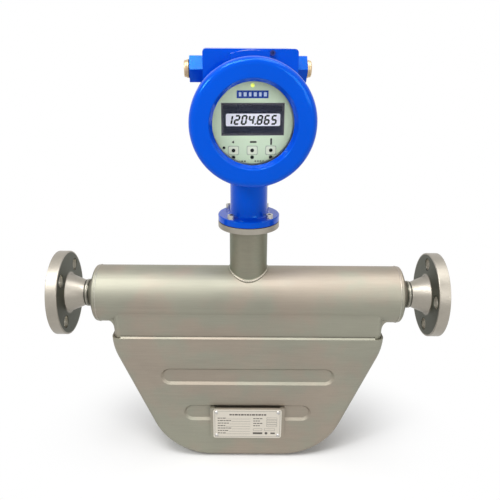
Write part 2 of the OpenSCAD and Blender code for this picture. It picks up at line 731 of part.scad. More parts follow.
module display_board() color("darkgreen") in_head() stack_disc(display_board_y, board_r, board_t, 1.6);
module main_board() color("darkgreen") in_head() stack_disc(main_board_y, board_r, board_t, 1.6);
module power_board() color("darkgreen") in_head() stack_disc(power_board_y, board_r, board_t, 1.6);

module board_components() color("black") in_head() {
    // processor, memory and plug of the main board
    translate([-8, main_board_y - 2, head_z - 8]) cube([16, 2, 16]);
    translate([14, main_board_y - 1.6, head_z + 4]) cube([10, 1.6, 14]);
    translate([-30, main_board_y - 8, head_z - 26]) cube([24, 8, 7]);
    // transformer and capacitors of the power board
    translate([-14, power_board_y + board_t, head_z + 2]) cube([28, 15, 24]);
    for (x = [-18, 0, 18]) translate([x, power_board_y + board_t, head_z - 16]) rotate([-90, 0, 0])
        cylinder(r = 6, h = 13);
}

// Spacers between the boards, three to each gap
module board_standoffs() color("silver") in_head()
    for (gap = [[faceplate_y + faceplate_t, display_board_y], [display_board_y + board_t, main_board_y],
                [main_board_y + board_t, power_board_y], [power_board_y + board_t, front_floor_y]])
        along_y(gap[0]) column_places() difference() {
            cylinder(r = 2.9, h = gap[1] - gap[0]);
            translate([0, 0, -over]) cylinder(r = 1.5, h = 30);
        }

module terminal_block() color("darkseagreen") in_head() difference() {
    translate([-32, rear_floor_y, head_z - 11]) cube([64, 14, 22]);
    terminal_places() cylinder(r = 2.2, h = 20, center = true);
    for (k = [0:7]) translate([-28 + 8 * k, rear_floor_y + 5, head_z + 3]) cube([4, 5, 20]);
}

module terminal_places() for (k = [0:7]) translate([-26 + 8 * k, rear_floor_y + 14, head_z])
    rotate([-90, 0, 0]) children();

module terminal_screws() color("silver") in_head() terminal_places() difference() {
    translate([0, 0, -8]) cylinder(r = 2.1, h = 7);
    translate([-3, -0.4, -2]) cube([6, 0.8, 3]);
}

// ---------- Cable entries ----------

plug_washer_t = 1.2;

// Stepped blanking plug with a hexagon socket, drawn along +Z from the washer's face
module plug() color("tan") difference() {
    union() {
        rotate_extrude() polygon([
            [0, 0], [10.1, 0], [10.1, 1.8], [9.4, 2.3], [9.4, 3.8], [9, 4.6], [8.2, 5], [0, 5]
        ]);
        translate([0, 0, -plug_washer_t - 12]) cylinder(r = boss_bore_r + 0.5, h = 12 + plug_washer_t);
    }
    translate([0, 0, 1]) cylinder(d = 8 / cos(30), h = 10, $fn = 6);
}

module at_entry(side) in_head() translate([side * (boss_end + plug_washer_t), boss_y, boss_z])
    along_x(side) children();

module entry_washer() color("black") translate([0, 0, -plug_washer_t])
    ring(boss_bore_r + 2.1, boss_bore_r + 0.5 + slip, plug_washer_t);

module left_cable_plug() at_entry(-1) plug();
module right_cable_plug() at_entry(1) plug();
module left_plug_washer() at_entry(-1) entry_washer();
module right_plug_washer() at_entry(1) entry_washer();

// ---------- Parts ----------

inlet_flange();
outlet_flange();
inlet_splitter();
outlet_splitter();
housing_tube();
inlet_end_cap();
outlet_end_cap();
case_saddle();
case_front_pan();
case_rear_pan();
nameplate_bracket();
nameplate();
nameplate_rivets();
front_flow_tube();
rear_flow_tube();
inlet_brace_plate();
outlet_brace_plate();
drive_coil();
drive_magnet();
inlet_pickoff_coil();
inlet_pickoff_magnet();
outlet_pickoff_coil();
outlet_pickoff_magnet();
temperature_sensor();
stem_tube();
stem_flange();
feedthrough_disc();
feedthrough_pins();
neck_gasket();
neck_screws();
head_housing();
front_cover();
window_glass();
glass_retaining_ring();
front_cover_oring();
cover_lock_screw();
faceplate();
faceplate_screws();
display_module();
status_led();
key_windows();
display_board();
main_board();
power_board();
board_components();
board_standoffs();
rear_cover();
rear_cover_oring();
terminal_block();
terminal_screws();
earth_screw();
left_cable_plug();
left_plug_washer();
right_cable_plug();
right_plug_washer();
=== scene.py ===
"""Dresses the flow meter's solids for rendering: finishes, prints, welds, lamps and camera."""

import json
import math

import bmesh
import bpy
from bpy.props import FloatProperty, FloatVectorProperty, PointerProperty
from mathutils import Matrix, Vector


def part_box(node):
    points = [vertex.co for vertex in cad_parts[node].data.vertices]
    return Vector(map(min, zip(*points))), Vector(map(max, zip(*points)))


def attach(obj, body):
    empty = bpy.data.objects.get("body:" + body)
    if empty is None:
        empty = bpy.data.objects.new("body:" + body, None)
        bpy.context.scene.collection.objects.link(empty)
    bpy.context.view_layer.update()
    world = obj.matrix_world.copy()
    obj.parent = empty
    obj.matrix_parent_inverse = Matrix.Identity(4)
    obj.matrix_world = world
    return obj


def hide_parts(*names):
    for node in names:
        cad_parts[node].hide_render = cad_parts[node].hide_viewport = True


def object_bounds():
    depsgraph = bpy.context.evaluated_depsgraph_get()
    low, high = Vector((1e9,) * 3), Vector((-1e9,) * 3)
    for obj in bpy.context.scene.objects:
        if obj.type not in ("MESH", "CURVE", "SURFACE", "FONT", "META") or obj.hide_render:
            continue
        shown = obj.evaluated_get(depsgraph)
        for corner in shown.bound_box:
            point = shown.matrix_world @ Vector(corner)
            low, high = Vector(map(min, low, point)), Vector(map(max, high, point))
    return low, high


bl_info = {
    "name": "Coriolis flow meter",
    "version": (1, 0, 0),
    "blender": (4, 5, 0),
    "location": "View3D > Sidebar > Flow meter",
    "description": "Finishes, prints, welds and a stage for a flow meter",
    "category": "Object",
}

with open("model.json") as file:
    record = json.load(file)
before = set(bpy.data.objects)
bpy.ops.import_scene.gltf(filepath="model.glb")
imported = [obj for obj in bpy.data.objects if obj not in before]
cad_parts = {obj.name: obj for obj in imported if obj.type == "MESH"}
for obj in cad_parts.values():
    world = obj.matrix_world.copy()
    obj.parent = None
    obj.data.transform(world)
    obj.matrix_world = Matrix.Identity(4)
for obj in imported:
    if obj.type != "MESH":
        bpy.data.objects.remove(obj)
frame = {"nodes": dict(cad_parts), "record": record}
cad_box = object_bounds()
nodes = frame["nodes"]
SLOT_OF = {part["node"]: part["material_slot"] for part in frame["record"]["subparts"]}
BODY_OF = {
    node: body for body, members in frame["record"]["behaviour"]["bodies"].items() for node in members
}

# The meter's middle, in metres. Pieces are drawn in millimetres from it, and those of the head from
# the head's upright axis at the height of its front plate's centre. Two matrices put them in place.
MID_X = (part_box("inlet_flange")[0].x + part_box("outlet_flange")[1].x) / 2
HEAD_Z = (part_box("faceplate")[0].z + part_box("faceplate")[1].z) * 500
HEAD_TURN = math.radians(4.5)
AT_MIDDLE = Matrix.Translation((MID_X, 0, 0)) @ Matrix.Diagonal((0.001, 0.001, 0.001, 1))
IN_HEAD = AT_MIDDLE @ Matrix.Rotation(HEAD_TURN, 4, "Z") @ Matrix.Translation((0, 0, HEAD_Z))

WHITE = (1, 1, 1, 1)


def from_middle(x):
    """Millimetres from the meter's middle to an x in metres."""
    return (x - MID_X) * 1000


def tone(red, green, blue):
    """Scene colour of a paint chip given in 0 to 255."""
    def linear(value):
        value /= 255
        return value / 12.92 if value <= 0.04045 else ((value + 0.055) / 1.055) ** 2.4
    return (linear(red), linear(green), linear(blue), 1.0)


# ---------- Node trees ----------


class Value:
    """A number socket that grows Math nodes as it is used in an expression."""

    def __init__(self, graph, socket):
        self.graph = graph
        self.socket = socket

    def math(self, operation, *others):
        inputs = dict(enumerate((self, *others)))
        return Value(self.graph, self.graph.node("Math", {"operation": operation}, inputs).outputs[0])

    def __add__(self, other):
        return self.math("ADD", other)

    def __sub__(self, other):
        return self.math("SUBTRACT", other)

    def __mul__(self, other):
        return self.math("MULTIPLY", other)

    def __rsub__(self, other):
        return (self * -1).math("ADD", other)

    __radd__ = __add__
    __rmul__ = __mul__

    def absolute(self):
        return self.math("ABSOLUTE")

    def highest(self, other):
        return self.math("MAXIMUM", other)

    def wave(self, pitch):
        return (self * (2 * math.pi / pitch)).math("SINE")

    def ramp(self, start, end):
        """Goes smoothly from 0 at start to 1 at end, which may be the lower one."""
        node = self.graph.node(
            "MapRange", {"interpolation_type": "SMOOTHSTEP"}, {0: self, 1: start, 2: end}
        )
        return Value(self.graph, node.outputs[0])


class Graph:
    """A node tree that is built from calls."""

    def __init__(self, tree):
        self.tree = tree

    def node(self, kind, settings=None, inputs=None):
        """Any node, with its settings made before its sockets."""
        node = self.tree.nodes.new("ShaderNode" + kind)
        for name, value in (settings or {}).items():
            setattr(node, name, value)
        for key, value in (inputs or {}).items():
            self.plug(node.inputs[key], value)
        return node

    def plug(self, socket, value):
        """Links a socket to another one, or sets it to a number or colour."""
        if isinstance(value, Value):
            value = value.socket
        if isinstance(value, bpy.types.NodeSocket):
            self.tree.links.new(value, socket)
        else:
            socket.default_value = value

    def backdrop_rays(self):
        """1 for rays that find the white backdrop: from the camera, off gloss and through glass."""
        path = self.node("LightPath")
        camera, glossy, clear = (
            Value(self, path.outputs[f"Is {kind} Ray"]) for kind in ("Camera", "Glossy", "Transmission")
        )
        return camera.highest(glossy).highest(clear)

    def mixed_end(self, output, factor, first, second):
        """Ends the tree in a mix of two shaders."""
        mixed = self.node("MixShader", None, {0: factor, 1: first.outputs[0], 2: second.outputs[0]})
        self.plug(self.tree.nodes[output].inputs[0], mixed.outputs[0])


class Finish(Graph):
    """A material made of nodes, with its own Principled shader."""

    def __init__(self, name, colour, metallic, roughness, **fixed):
        self.material = bpy.data.materials.new(name)
        self.material.use_nodes = True
        super().__init__(self.material.node_tree)
        self.shader = self.tree.nodes["Principled BSDF"]
        self.colour = colour
        self.feed("Base Color", colour)
        self.feed("Metallic", metallic)
        self.feed("Roughness", roughness)
        for socket, value in fixed.items():
            self.feed(socket.replace("_", " "), value)

    def feed(self, name, value):
        self.plug(self.shader.inputs[name], value)

    def place(self, scale):
        """Object coordinates in metres, stretched by scale."""
        coordinates = self.node("TexCoord").outputs["Object"]
        stretched = self.node(
            "Mapping", {"vector_type": "POINT"}, {"Vector": coordinates, "Scale": scale}
        )
        return stretched.outputs[0]

    def axes(self, origin=(0, 0, 0)):
        """The three coordinates in millimetres from an origin in millimetres."""
        centred = self.node(
            "VectorMath", {"operation": "SUBTRACT"},
            {0: self.place((1000, 1000, 1000)), 1: origin},
        )
        parts = self.node("SeparateXYZ", None, {0: centred.outputs[0]})
        return [Value(self, parts.outputs[k]) for k in range(3)]

    def noise(self, scale, detail, roughness=0.5, stretch=(1, 1, 1)):
        node = self.node(
            "TexNoise", None,
            {"Vector": self.place(stretch), "Scale": scale, "Detail": detail, "Roughness": roughness},
        )
        return Value(self, node.outputs["Fac"])

    def blend(self, factor, first, second):
        """Colour that goes from first to second."""
        node = self.node("Mix", {"data_type": "RGBA"}, {0: factor, 6: first, 7: second})
        return node.outputs[2]

    def shaded(self, factor, amount, tint=(1, 1, 1)):
        """The finish's own colour, tinted, made darker and lighter by a factor about 0.5."""
        dark, light = (
            tuple(min(1, c * t * level) for c, t in zip(self.colour, tint)) + (1,)
            for level in (1 - amount, 1 + amount)
        )
        return self.blend(factor, dark, light)

    def bumps(self, height, distance, strength):
        node = self.node("Bump", None, {"Height": height, "Distance": distance, "Strength": strength})
        self.feed("Normal", node.outputs[0])


# ---------- Finishes ----------


def blasted_steel(name, colour, roughness=0.55, cloud=0.10, lip=None):
    """Bead-blasted stainless sheet: fine grain, and soft clouds that turn a little warm and cool.

    A lip is the height in millimetres of an upward-facing top edge; from a millimetre under that height
    upward the sheet is painted darker, as painted shade that tones down the edge's highlight.
    """
    # The last colour is the painted shade for the lip.
    warm, cool, painted_lip_shade = (1.05, 0.98, 0.96), (0.96, 1.01, 0.98), tone(84, 82, 74)
    finish = Finish(name, colour, 1.0, roughness)
    clouds = finish.noise(9, 4, 0.6)
    grain = finish.noise(1400, 2, 0.6)
    streaks = finish.noise(30, 3, 0.6, (1, 8, 30))
    hue = finish.noise(16, 3, 0.55).ramp(0.38, 0.62)
    mottle = (clouds * 0.55 + streaks * 0.25 + grain * 0.2).ramp(0.3, 0.7)
    sheet = finish.blend(hue, finish.shaded(mottle, cloud, warm), finish.shaded(mottle, cloud, cool))
    # Painted shade: the top edge of the sheet is darkened to tone down its highlight, mottled by the
    # clouds.
    if lip is not None:
        height = finish.axes()[2]
        lip_shade_mask = height.ramp(lip - 1.0, lip - 0.4) * (clouds * 0.5 + 0.6)
        sheet = finish.blend(lip_shade_mask, sheet, painted_lip_shade)
    finish.feed("Base Color", sheet)
    finish.feed("Roughness", clouds.ramp(0.3, 0.7) * 0.12 + (roughness - 0.06))
    finish.bumps(grain + streaks * 0.6, 0.00005, 0.5)
    return finish.material


def flange_steel(name, colour):
    """Turned rims and hubs with the tool's rings, painted shade that darkens the flanges' backs, and
    a painted highlight that lightens the walls of the holes."""
    flange_thick, bolt_zone = 15.5, (50, 49)
    hub_edge, rim_edge = (24.5, 28.5), (52.8, 51.5)
    finish = Finish(name, colour, 1.0, 0.4)
    x, y, z = finish.axes((MID_X * 1000, 0, 0))
    reach = x.absolute()
    radius = (y * y + z * z).math("SQRT")
    back = from_middle(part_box("outlet_flange")[1].x) - flange_thick
    # Painted shade: the flanges' backs between hub and rim get a dark colour.
    back_shade_mask = reach.ramp(back + 1.4, back + 0.6) * radius.ramp(*hub_edge) * radius.ramp(*rim_edge)
    depth = reach.ramp(back + 0.8, back + 1.4) * reach.ramp(back + 13.6, back + 13)
    # Painted highlight: the walls of the bolt holes get a light colour.
    hole_highlight_mask = depth * radius.ramp(*bolt_zone)
    rings = (radius + x * 1.7).wave(0.9) * 0.5 + 0.5
    stains = finish.noise(60, 5, 0.65)
    speck = finish.noise(700, 3, 0.7)
    turned = finish.shaded(stains * 0.6 + speck * 0.4, 0.22)
    # The dark, mottled colour of the painted shade on the backs.
    painted_back_shade = finish.blend(stains * 0.5 + speck * 0.5, tone(66, 70, 62), tone(116, 116, 104))
    outside = finish.blend(back_shade_mask, turned, painted_back_shade)
    # Turned steel, with painted shade on the backs and a painted highlight in the holes.
    finish.feed("Base Color", finish.blend(hole_highlight_mask, outside, tone(190, 186, 176)))
    finish.feed("Roughness", stains * 0.25 + back_shade_mask * 0.15 + 0.3 - hole_highlight_mask * 0.1)
    finish.bumps(rings * (1 - back_shade_mask) * 0.6 + speck * 0.5, 0.00006, 0.6)
    return finish.material


def nozzle_steel(name):
    """The short necks between flange and case, with the dark edges of their two welds."""
    finish = Finish(name, tone(176, 172, 160), 1.0, 0.35)
    reach = finish.axes((MID_X * 1000, 0, 0))[0].absolute()
    hub_end = from_middle(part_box("outlet_flange")[0].x)
    cap_end = from_middle(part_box("outlet_end_cap")[1].x)
    at_hub = reach.ramp(hub_end - 1.9, hub_end - 1.3)
    at_cap = reach.ramp(cap_end + 2.1, cap_end + 1.5)
    heat = finish.noise(300, 3, 0.6)
    light = finish.shaded(heat, 0.15)
    dark = finish.blend(heat, tone(54, 55, 48), tone(92, 92, 82))
    finish.feed("Base Color", finish.blend(at_hub.highest(at_cap), light, dark))
    finish.bumps((reach - cap_end).wave(1.6) + heat * 0.4, 0.0002, 0.7)
    return finish.material


def gloss_paint(name, colour):
    """Blue powder coat with orange peel. Its gloss is tinted, so that reflections stay blue."""
    finish = Finish(
        name, colour, 0.0, 0.15,
        Specular_Tint=(0.03, 0.55, 1, 1), Coat_Weight=0.08, Coat_Roughness=0.05,
    )
    peel = finish.noise(420, 2)
    cloud = finish.noise(25, 3)
    finish.feed("Base Color", finish.shaded(cloud, 0.08))
    finish.feed("Roughness", cloud * 0.08 + 0.11)
    finish.bumps(peel, 0.00008, 0.4)
    return finish.material


def grained(name, colour, metallic, roughness, scale, depth, tint=0.15, **fixed):
    """Plain finish with grain in its colour, gloss and surface."""
    finish = Finish(name, colour, metallic, roughness, **fixed)
    grain = finish.noise(scale, 3, 0.6)
    broad = finish.noise(scale / 12, 3)
    finish.feed("Base Color", finish.shaded(grain * 0.5 + broad * 0.5, tint))
    finish.feed("Roughness", broad * 0.2 + (roughness - 0.1))
    finish.bumps(grain, depth, 0.6)
    return finish.material


def clear_glass(name):
    """Window glass with a thin film of dust."""
    finish = Finish(name, WHITE, 0.0, 0.02, IOR=1.18, Transmission_Weight=1.0)
    finish.feed("Roughness", finish.noise(40, 3) * 0.03)
    return finish.material


def board_lacquer(name):
    """Green board with copper tracks under the lacquer."""
    finish = Finish(name, tone(20, 92, 48), 0.0, 0.35, Coat_Weight=0.4)
    x, y, z = finish.axes()
    tracks = x.wave(2.4).ramp(0.72, 0.86).highest(z.wave(2.9).ramp(0.75, 0.88))
    patches = finish.noise(90, 1).ramp(0.45, 0.55)
    finish.feed("Base Color", finish.blend(tracks * patches, tone(16, 84, 44), tone(66, 140, 70)))
    finish.bumps(tracks, 0.00004, 0.6)
    return finish.material


# Grained finishes: colour, metallic, roughness, grain's scale, its depth in metres, and its share of
# the colour where that isn't grained's own
GRAINED = {
    "plain_steel": (tone(190, 188, 184), 1.0, 0.28, 500, 0.00003),
    "dark_steel": (tone(70, 70, 72), 1.0, 0.4, 600, 0.00004),
    "zinc_ring": (tone(168, 178, 184), 1.0, 0.35, 400, 0.00002),
    "brass": (tone(206, 182, 146), 1.0, 0.42, 300, 0.00004),
    "copper_coil": (tone(190, 108, 70), 1.0, 0.35, 900, 0.00006, 0.3),
    "magnet_grey": (tone(150, 150, 152), 1.0, 0.3, 500, 0.00003),
    "painted_screw": (tone(6, 36, 120), 0.0, 0.4, 300, 0.00002),
    "black_rubber": (tone(26, 26, 27), 0.0, 0.65, 900, 0.00005),
    "chip_black": (tone(30, 30, 32), 0.0, 0.5, 800, 0.00003),
    "terminal_green": (tone(36, 130, 70), 0.0, 0.45, 400, 0.00003),
    "ceramic_white": (tone(230, 228, 220), 0.0, 0.4, 500, 0.00002, 0.04),
    "led_yellow": (tone(214, 226, 90), 0.0, 0.25, 200, 0.00002, 0.1),
    "key_black": (tone(8, 10, 10), 0.0, 0.5, 300, 0.00002),
    "screen_dark": (tone(36, 40, 56), 0.0, 0.6, 300, 0.00001, 0.15),
    "screen_light": (tone(232, 232, 244), 0.0, 0.4, 300, 0.00001, 0.03),
    "print_dark": (tone(14, 26, 20), 0.0, 0.6, 300, 0.00001),
    "print_fine": (tone(96, 116, 98), 0.0, 0.5, 300, 0.00001),
    "print_grey": (tone(82, 76, 70), 0.0, 0.5, 300, 0.00001),
    "print_blue": (tone(24, 62, 158), 0.0, 0.5, 300, 0.00001),
    "print_white": (tone(196, 214, 236), 0.0, 0.4, 300, 0.00001),
}

# Sockets that some of them set: little gloss on dark prints, and the lamp's own light
FIXED = {
    "screen_dark": {"Specular_IOR_Level": 0.05},
    "key_black": {"Specular_IOR_Level": 0.1},
    "print_dark": {"Specular_IOR_Level": 0.1},
    "print_blue": {"Specular_IOR_Level": 0.1},
    "led_yellow": {"Emission_Color": tone(230, 244, 110), "Emission_Strength": 0.8},
}

# Nodes whose look differs from the rest of their slot
OWN_FINISH = {
    "cover_lock_screw": "painted_screw", "glass_retaining_ring": "zinc_ring", "stem_tube": "stem_steel",
    "inlet_splitter": "nozzle_steel", "outlet_splitter": "nozzle_steel",
    "case_front_pan": "pan_steel", "case_rear_pan": "pan_steel",
}


def finishes():
    """Makes every finish, and returns them by the names given here."""
    colours = bpy.context.scene.meter_colours
    case, flange, paint, panel, label = (
        tuple(colour)
        for colour in (colours.case, colours.flange, colours.paint, colours.panel, colours.label)
    )
    pan_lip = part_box("case_front_pan")[1].z * 1000
    made = {name: grained(name, *row, **FIXED.get(name, {})) for name, row in GRAINED.items()}
    for make, name, *row in (
        (blasted_steel, "satin_steel", case),
        # The pans' sheet gets painted shade along its top edge.
        (blasted_steel, "pan_steel", case, 0.55, 0.10, pan_lip),
        (blasted_steel, "tube_steel", tone(190, 188, 182), 0.3, 0.08),
        (blasted_steel, "weld_steel", tone(168, 163, 152), 0.42, 0.15),
        (blasted_steel, "stem_steel", tone(133, 134, 120), 0.5, 0.12),
        (flange_steel, "flange_steel", flange),
        (nozzle_steel, "nozzle_steel"),
        (gloss_paint, "blue_paint", paint),
        (grained, "panel_print", panel, 0.0, 0.4, 350, 0.00002, 0.05),
        (grained, "plate_metal", label, 0.0, 0.45, 300, 0.00002, 0.05),
        (clear_glass, "window_glass"),
        (board_lacquer, "board_green"),
    ):
        made[name] = make(name, *row)
    return made


def finish(name):
    """The material of that name, which for a slot's name is the frame's own plain one."""
    found = bpy.data.materials.get(name)
    if found is None:
        raise RuntimeError(f"there is no finish named {name}")
    return found


# ---------- Settings ----------


def colour_setting(name, description, default):
    return FloatVectorProperty(
        name=name, description=description, subtype="COLOR", size=4, min=0, max=1, default=default,
    )


def length_setting(name, description, default, low, high):
    return FloatProperty(
        name=name, description=description, default=default, min=low, max=high, unit="LENGTH",
    )


class MeterColours(bpy.types.PropertyGroup):
    """Colours of the meter's main finishes."""

    paint: colour_setting("Head paint", "Powder coat of the head, its lids and the neck", tone(0, 72, 202))
    case: colour_setting("Case steel", "Bead-blasted sheet of the sensor case", tone(157, 152, 140))
    flange: colour_setting("Flange steel", "Turned steel of the flanges", tone(164, 158, 147))
    panel: colour_setting("Front plate", "Ground colour of the printed front plate", tone(203, 222, 194))
    label: colour_setting("Nameplate", "Ground colour of the nameplate", tone(206, 199, 186))


class MeterSizes(bpy.types.PropertyGroup):
    """Sizes of the pieces that are added to the solids."""

    housing_diameter: length_setting(
        "Housing tube", "Outside diameter of the tube across the case", 0.073, 0.05, 0.1,
    )
    stem_diameter: length_setting("Stem", "Outside diameter of the stem under the head", 0.047, 0.03, 0.06)
    weld_width: length_setting("Weld width", "Width of an ordinary weld bead", 0.0022, 0.001, 0.004)


class METER_OT_finishes(bpy.types.Operator):
    """Gives every solid the finish of its material slot"""

    bl_idname = "meter.finishes"
    bl_label = "Finishes"

    def execute(self, context):
        made = finishes()
        for name, slot in SLOT_OF.items():
            materials = nodes[name].data.materials
            materials.clear()
            materials.append(made[OWN_FINISH.get(name, slot)])
        return {"FINISHED"}


# ---------- Modelling ----------


def mounted(name, mesh, material, body, sharp=None):
    """A finished object that rides on a body, with edges over sharp degrees left sharp."""
    mesh.shade_smooth()
    if sharp is not None:
        mesh.set_sharp_from_angle(angle=math.radians(sharp))
    mesh.materials.clear()
    mesh.materials.append(material)
    made = bpy.data.objects.new(name, mesh)
    bpy.context.scene.collection.objects.link(made)
    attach(made, body)
    return made


def piece(bm, name, finish_name, place=AT_MIDDLE):
    """A piece on the meter's body, from a mesh drawn in millimetres."""
    bmesh.ops.remove_doubles(bm, verts=bm.verts, dist=0.002)
    bmesh.ops.recalc_face_normals(bm, faces=bm.faces)
    bm.transform(place)
    mesh = bpy.data.meshes.new(name)
    bm.to_mesh(mesh)
    bm.free()
    made = mounted(name, mesh, finish(finish_name), "meter", 35)


def softened(node, width):
    """A copy of a solid with its edges rounded by width millimetres, standing for the solid."""
    merge = 2e-6  # metres
    flat, sharp = 1.5, 32  # degrees
    source = nodes[node]
    bm = bmesh.new()
    bm.from_mesh(source.data)
    bmesh.ops.remove_doubles(bm, verts=bm.verts, dist=merge)
    bmesh.ops.dissolve_limit(
        bm, angle_limit=math.radians(flat), verts=bm.verts, edges=bm.edges,
        use_dissolve_boundaries=False, delimit=set(),
    )
    mesh = bpy.data.meshes.new(node + "_soft")
    bm.to_mesh(mesh)
    bm.free()
    made = mounted(node + "_soft", mesh, source.data.materials[0], BODY_OF[node], sharp)
    rounding = made.modifiers.new("Rounded edges", "BEVEL")
    rounding.width = width / 1000
    rounding.segments = 3
    rounding.limit_method = "ANGLE"
    rounding.angle_limit = math.radians(sharp)
    rounding.harden_normals = False
    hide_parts(node)


class METER_OT_rounded_edges(bpy.types.Operator):
    """Breaks the sharp edges of castings, turned parts and pressed sheets"""

    bl_idname = "meter.rounded_edges"
    bl_label = "Rounded edges"

    def execute(self, context):
        for node, width in (
            ("inlet_flange", 0.6), ("outlet_flange", 0.6), ("front_cover", 2.6), ("rear_cover", 1.2),
            ("stem_flange", 0.5), ("case_front_pan", 0.8), ("case_rear_pan", 0.8), ("case_saddle", 0.8),
            ("inlet_end_cap", 0.4), ("outlet_end_cap", 0.4), ("head_housing", 0.9), ("stem_tube", 0.3),
            ("housing_tube", 0.3), ("nameplate_bracket", 0.4),
        ):
            softened(node, width)
        return {"FINISHED"}


# ---------- Welds ----------


def bead(name, points, width, closed=False):
    """A weld bead laid along points in millimetres, with the ripples of its puddle."""
    ripple, ripple_step = 0.12, 2.1
    curve = bpy.data.curves.new(name, "CURVE")
    curve.dimensions = "3D"
    curve.bevel_depth = width / 2000
    curve.bevel_resolution = 2
    spline = curve.splines.new("POLY")
    spline.points.add(len(points) - 1)
    spline.use_cyclic_u = closed
    for k, (point, co) in enumerate(zip(spline.points, points)):
        point.co = (*(AT_MIDDLE @ Vector(co)), 1)
        point.radius = 1 + ripple * math.sin(k * ripple_step)
    drawn = bpy.data.objects.new(name, curve)
    bpy.context.scene.collection.objects.link(drawn)
    mesh = bpy.data.meshes.new_from_object(drawn.evaluated_get(bpy.context.evaluated_depsgraph_get()))
    bpy.data.objects.remove(drawn)
    mesh.name = name
    mounted(name, mesh, finish("weld_steel"), "meter")


def turns(count):
    """Equal turns that go once round."""
    return [2 * math.pi * k / count for k in range(count)]


class METER_OT_welds(bpy.types.Operator):
    """Weld beads of the case, the stem and the process connections"""

    bl_idname = "meter.welds"
    bl_label = "Welds"

    def execute(self, context):
        sizes = context.scene.meter_sizes
        tube = sizes.housing_diameter * 500
        stem = sizes.stem_diameter * 500
        width = sizes.weld_width * 1000
        bead("stem_foot_weld", self.foot(tube, stem + 0.6), width * 1.5, closed=True)
        cap_edge = from_middle(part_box("housing_tube")[1].x) - 2.5
        for side, name in ((-1, "inlet"), (1, "outlet")):
            ring = [
                (side * cap_edge, (tube - 0.7) * math.cos(turn), (tube - 0.7) * math.sin(turn))
                for turn in turns(120)
            ]
            bead(name + "_cap_weld", ring, width * 1.1, closed=True)
        bead("pan_seam_weld", self.seam(), width * 0.8)
        return {"FINISHED"}

    def foot(self, tube, radius):
        """The line round the stem's foot, where it stands on the tube."""
        points = []
        for turn in turns(160):
            x, y = radius * math.cos(turn), radius * math.sin(turn)
            points.append((x, y, math.sqrt(tube * tube - y * y) + 0.3))
        return points

    def seam(self):
        """The line where the two halves of the case meet, taken round their edge.

        It keeps the outermost corner in every half degree about a point inside the case, and goes
        from the right under the case to the left.
        """
        inside = Vector((MID_X, 0, -0.11))
        under_lip, on_seam, step = -0.046, -1e-5, 1.6
        outer = {}
        for co in (v.co for v in nodes["case_front_pan"].data.vertices):
            if co.y <= on_seam or co.z >= under_lip:
                continue
            turn = round(math.degrees(math.atan2(co.z - inside.z, co.x - inside.x)) * 2)
            reach = (co - inside).length
            if reach > outer.get(turn, (0, None))[0]:
                outer[turn] = (reach, co)
        order = sorted(outer, key=lambda turn: (turn - 180) % 720)
        corners = [AT_MIDDLE.inverted() @ outer[turn][1] for turn in order]
        points = []
        for a, b in zip(corners, corners[1:]):
            count = max(2, int((b - a).length / step))
            points += [tuple(a + (b - a) * k / count) for k in range(count)]
        return points + [tuple(corners[-1])]


# ---------- Prints ----------


INK = 0.06


def slabs(bm, rows, y, thick=INK):
    """Printed bars (x, z, width, height) that stand just proud of the plane y."""
    for x, z, width, height in rows:
        place = Matrix.Translation((x, y - thick / 2, z)) @ Matrix.Diagonal((width, thick, height, 1))
        bmesh.ops.create_cube(bm, size=1, matrix=place)


def outline(x, z, width, height, line):
    """The four bars of a box drawn with a line of that width."""
    across, up = (width - line) / 2, (height - line) / 2
    return [
        (x, z + up, width, line), (x, z - up, width, line),
        (x - across, z, line, height - 2 * line), (x + across, z, line, height - 2 * line),
    ]


def rounded(bm, rows, y, thick=INK, corner=1.6):
    """Printed boxes (x, z, width, height) with round corners."""
    for row in rows:
        before = set(bm.verts)
        slabs(bm, [row], y, thick)
        made = [v for v in bm.verts if v not in before]
        edges = [
            e for v in made for e in v.link_edges if abs(e.verts[0].co.y - e.verts[1].co.y) > thick / 2
        ]
        bmesh.ops.bevel(
            bm, geom=list(set(edges)), offset=corner, segments=4, affect="EDGES", profile=0.5, material=-1,
        )


def spots(bm, rows, y, sides=20, thick=INK, turn=0.0):
    """Printed discs (x, z, radius), or other shapes with few sides."""
    upright = Matrix.Rotation(math.pi / 2, 4, "X") @ Matrix.Rotation(turn, 4, "Z")
    for x, z, radius in rows:
        bmesh.ops.create_cone(
            bm, cap_ends=True, segments=sides, radius1=radius, radius2=radius, depth=thick,
            matrix=Matrix.Translation((x, y - thick / 2, z)) @ upright,
        )


# The bars of each digit, named as on a seven-segment display
SEGMENTS = {
    "0": "abcdef", "1": "bc", "2": "abged", "3": "abgcd", "4": "fgbc", "5": "afgcd",
    "6": "afgedc", "7": "abc", "8": "abcdefg", "9": "abcdfg",
}


def digits(bm, text, x, height, y):
    """Seven-segment digits that start at x, with their middle at z = 0."""
    wide, line, gap = height * 0.5, height * 0.22, height * 0.16
    half, quarter, seam = height / 2, height / 4, line * 0.25
    flat, upright = (wide - seam, line), (line, half - seam)
    bars = {
        "a": (wide / 2, half, *flat), "g": (wide / 2, 0, *flat), "d": (wide / 2, -half, *flat),
        "f": (0, quarter, *upright), "e": (0, -quarter, *upright),
        "b": (wide, quarter, *upright), "c": (wide, -quarter, *upright),
    }
    for mark in text:
        if mark == ".":
            slabs(bm, [(x - gap * 0.3, -half, line * 0.9, line * 0.9)], y)
            x += gap * 1.1
        else:
            slabs(bm, [(x + bars[bar][0], *bars[bar][1:]) for bar in SEGMENTS[mark]], y)
            x += wide + line + gap


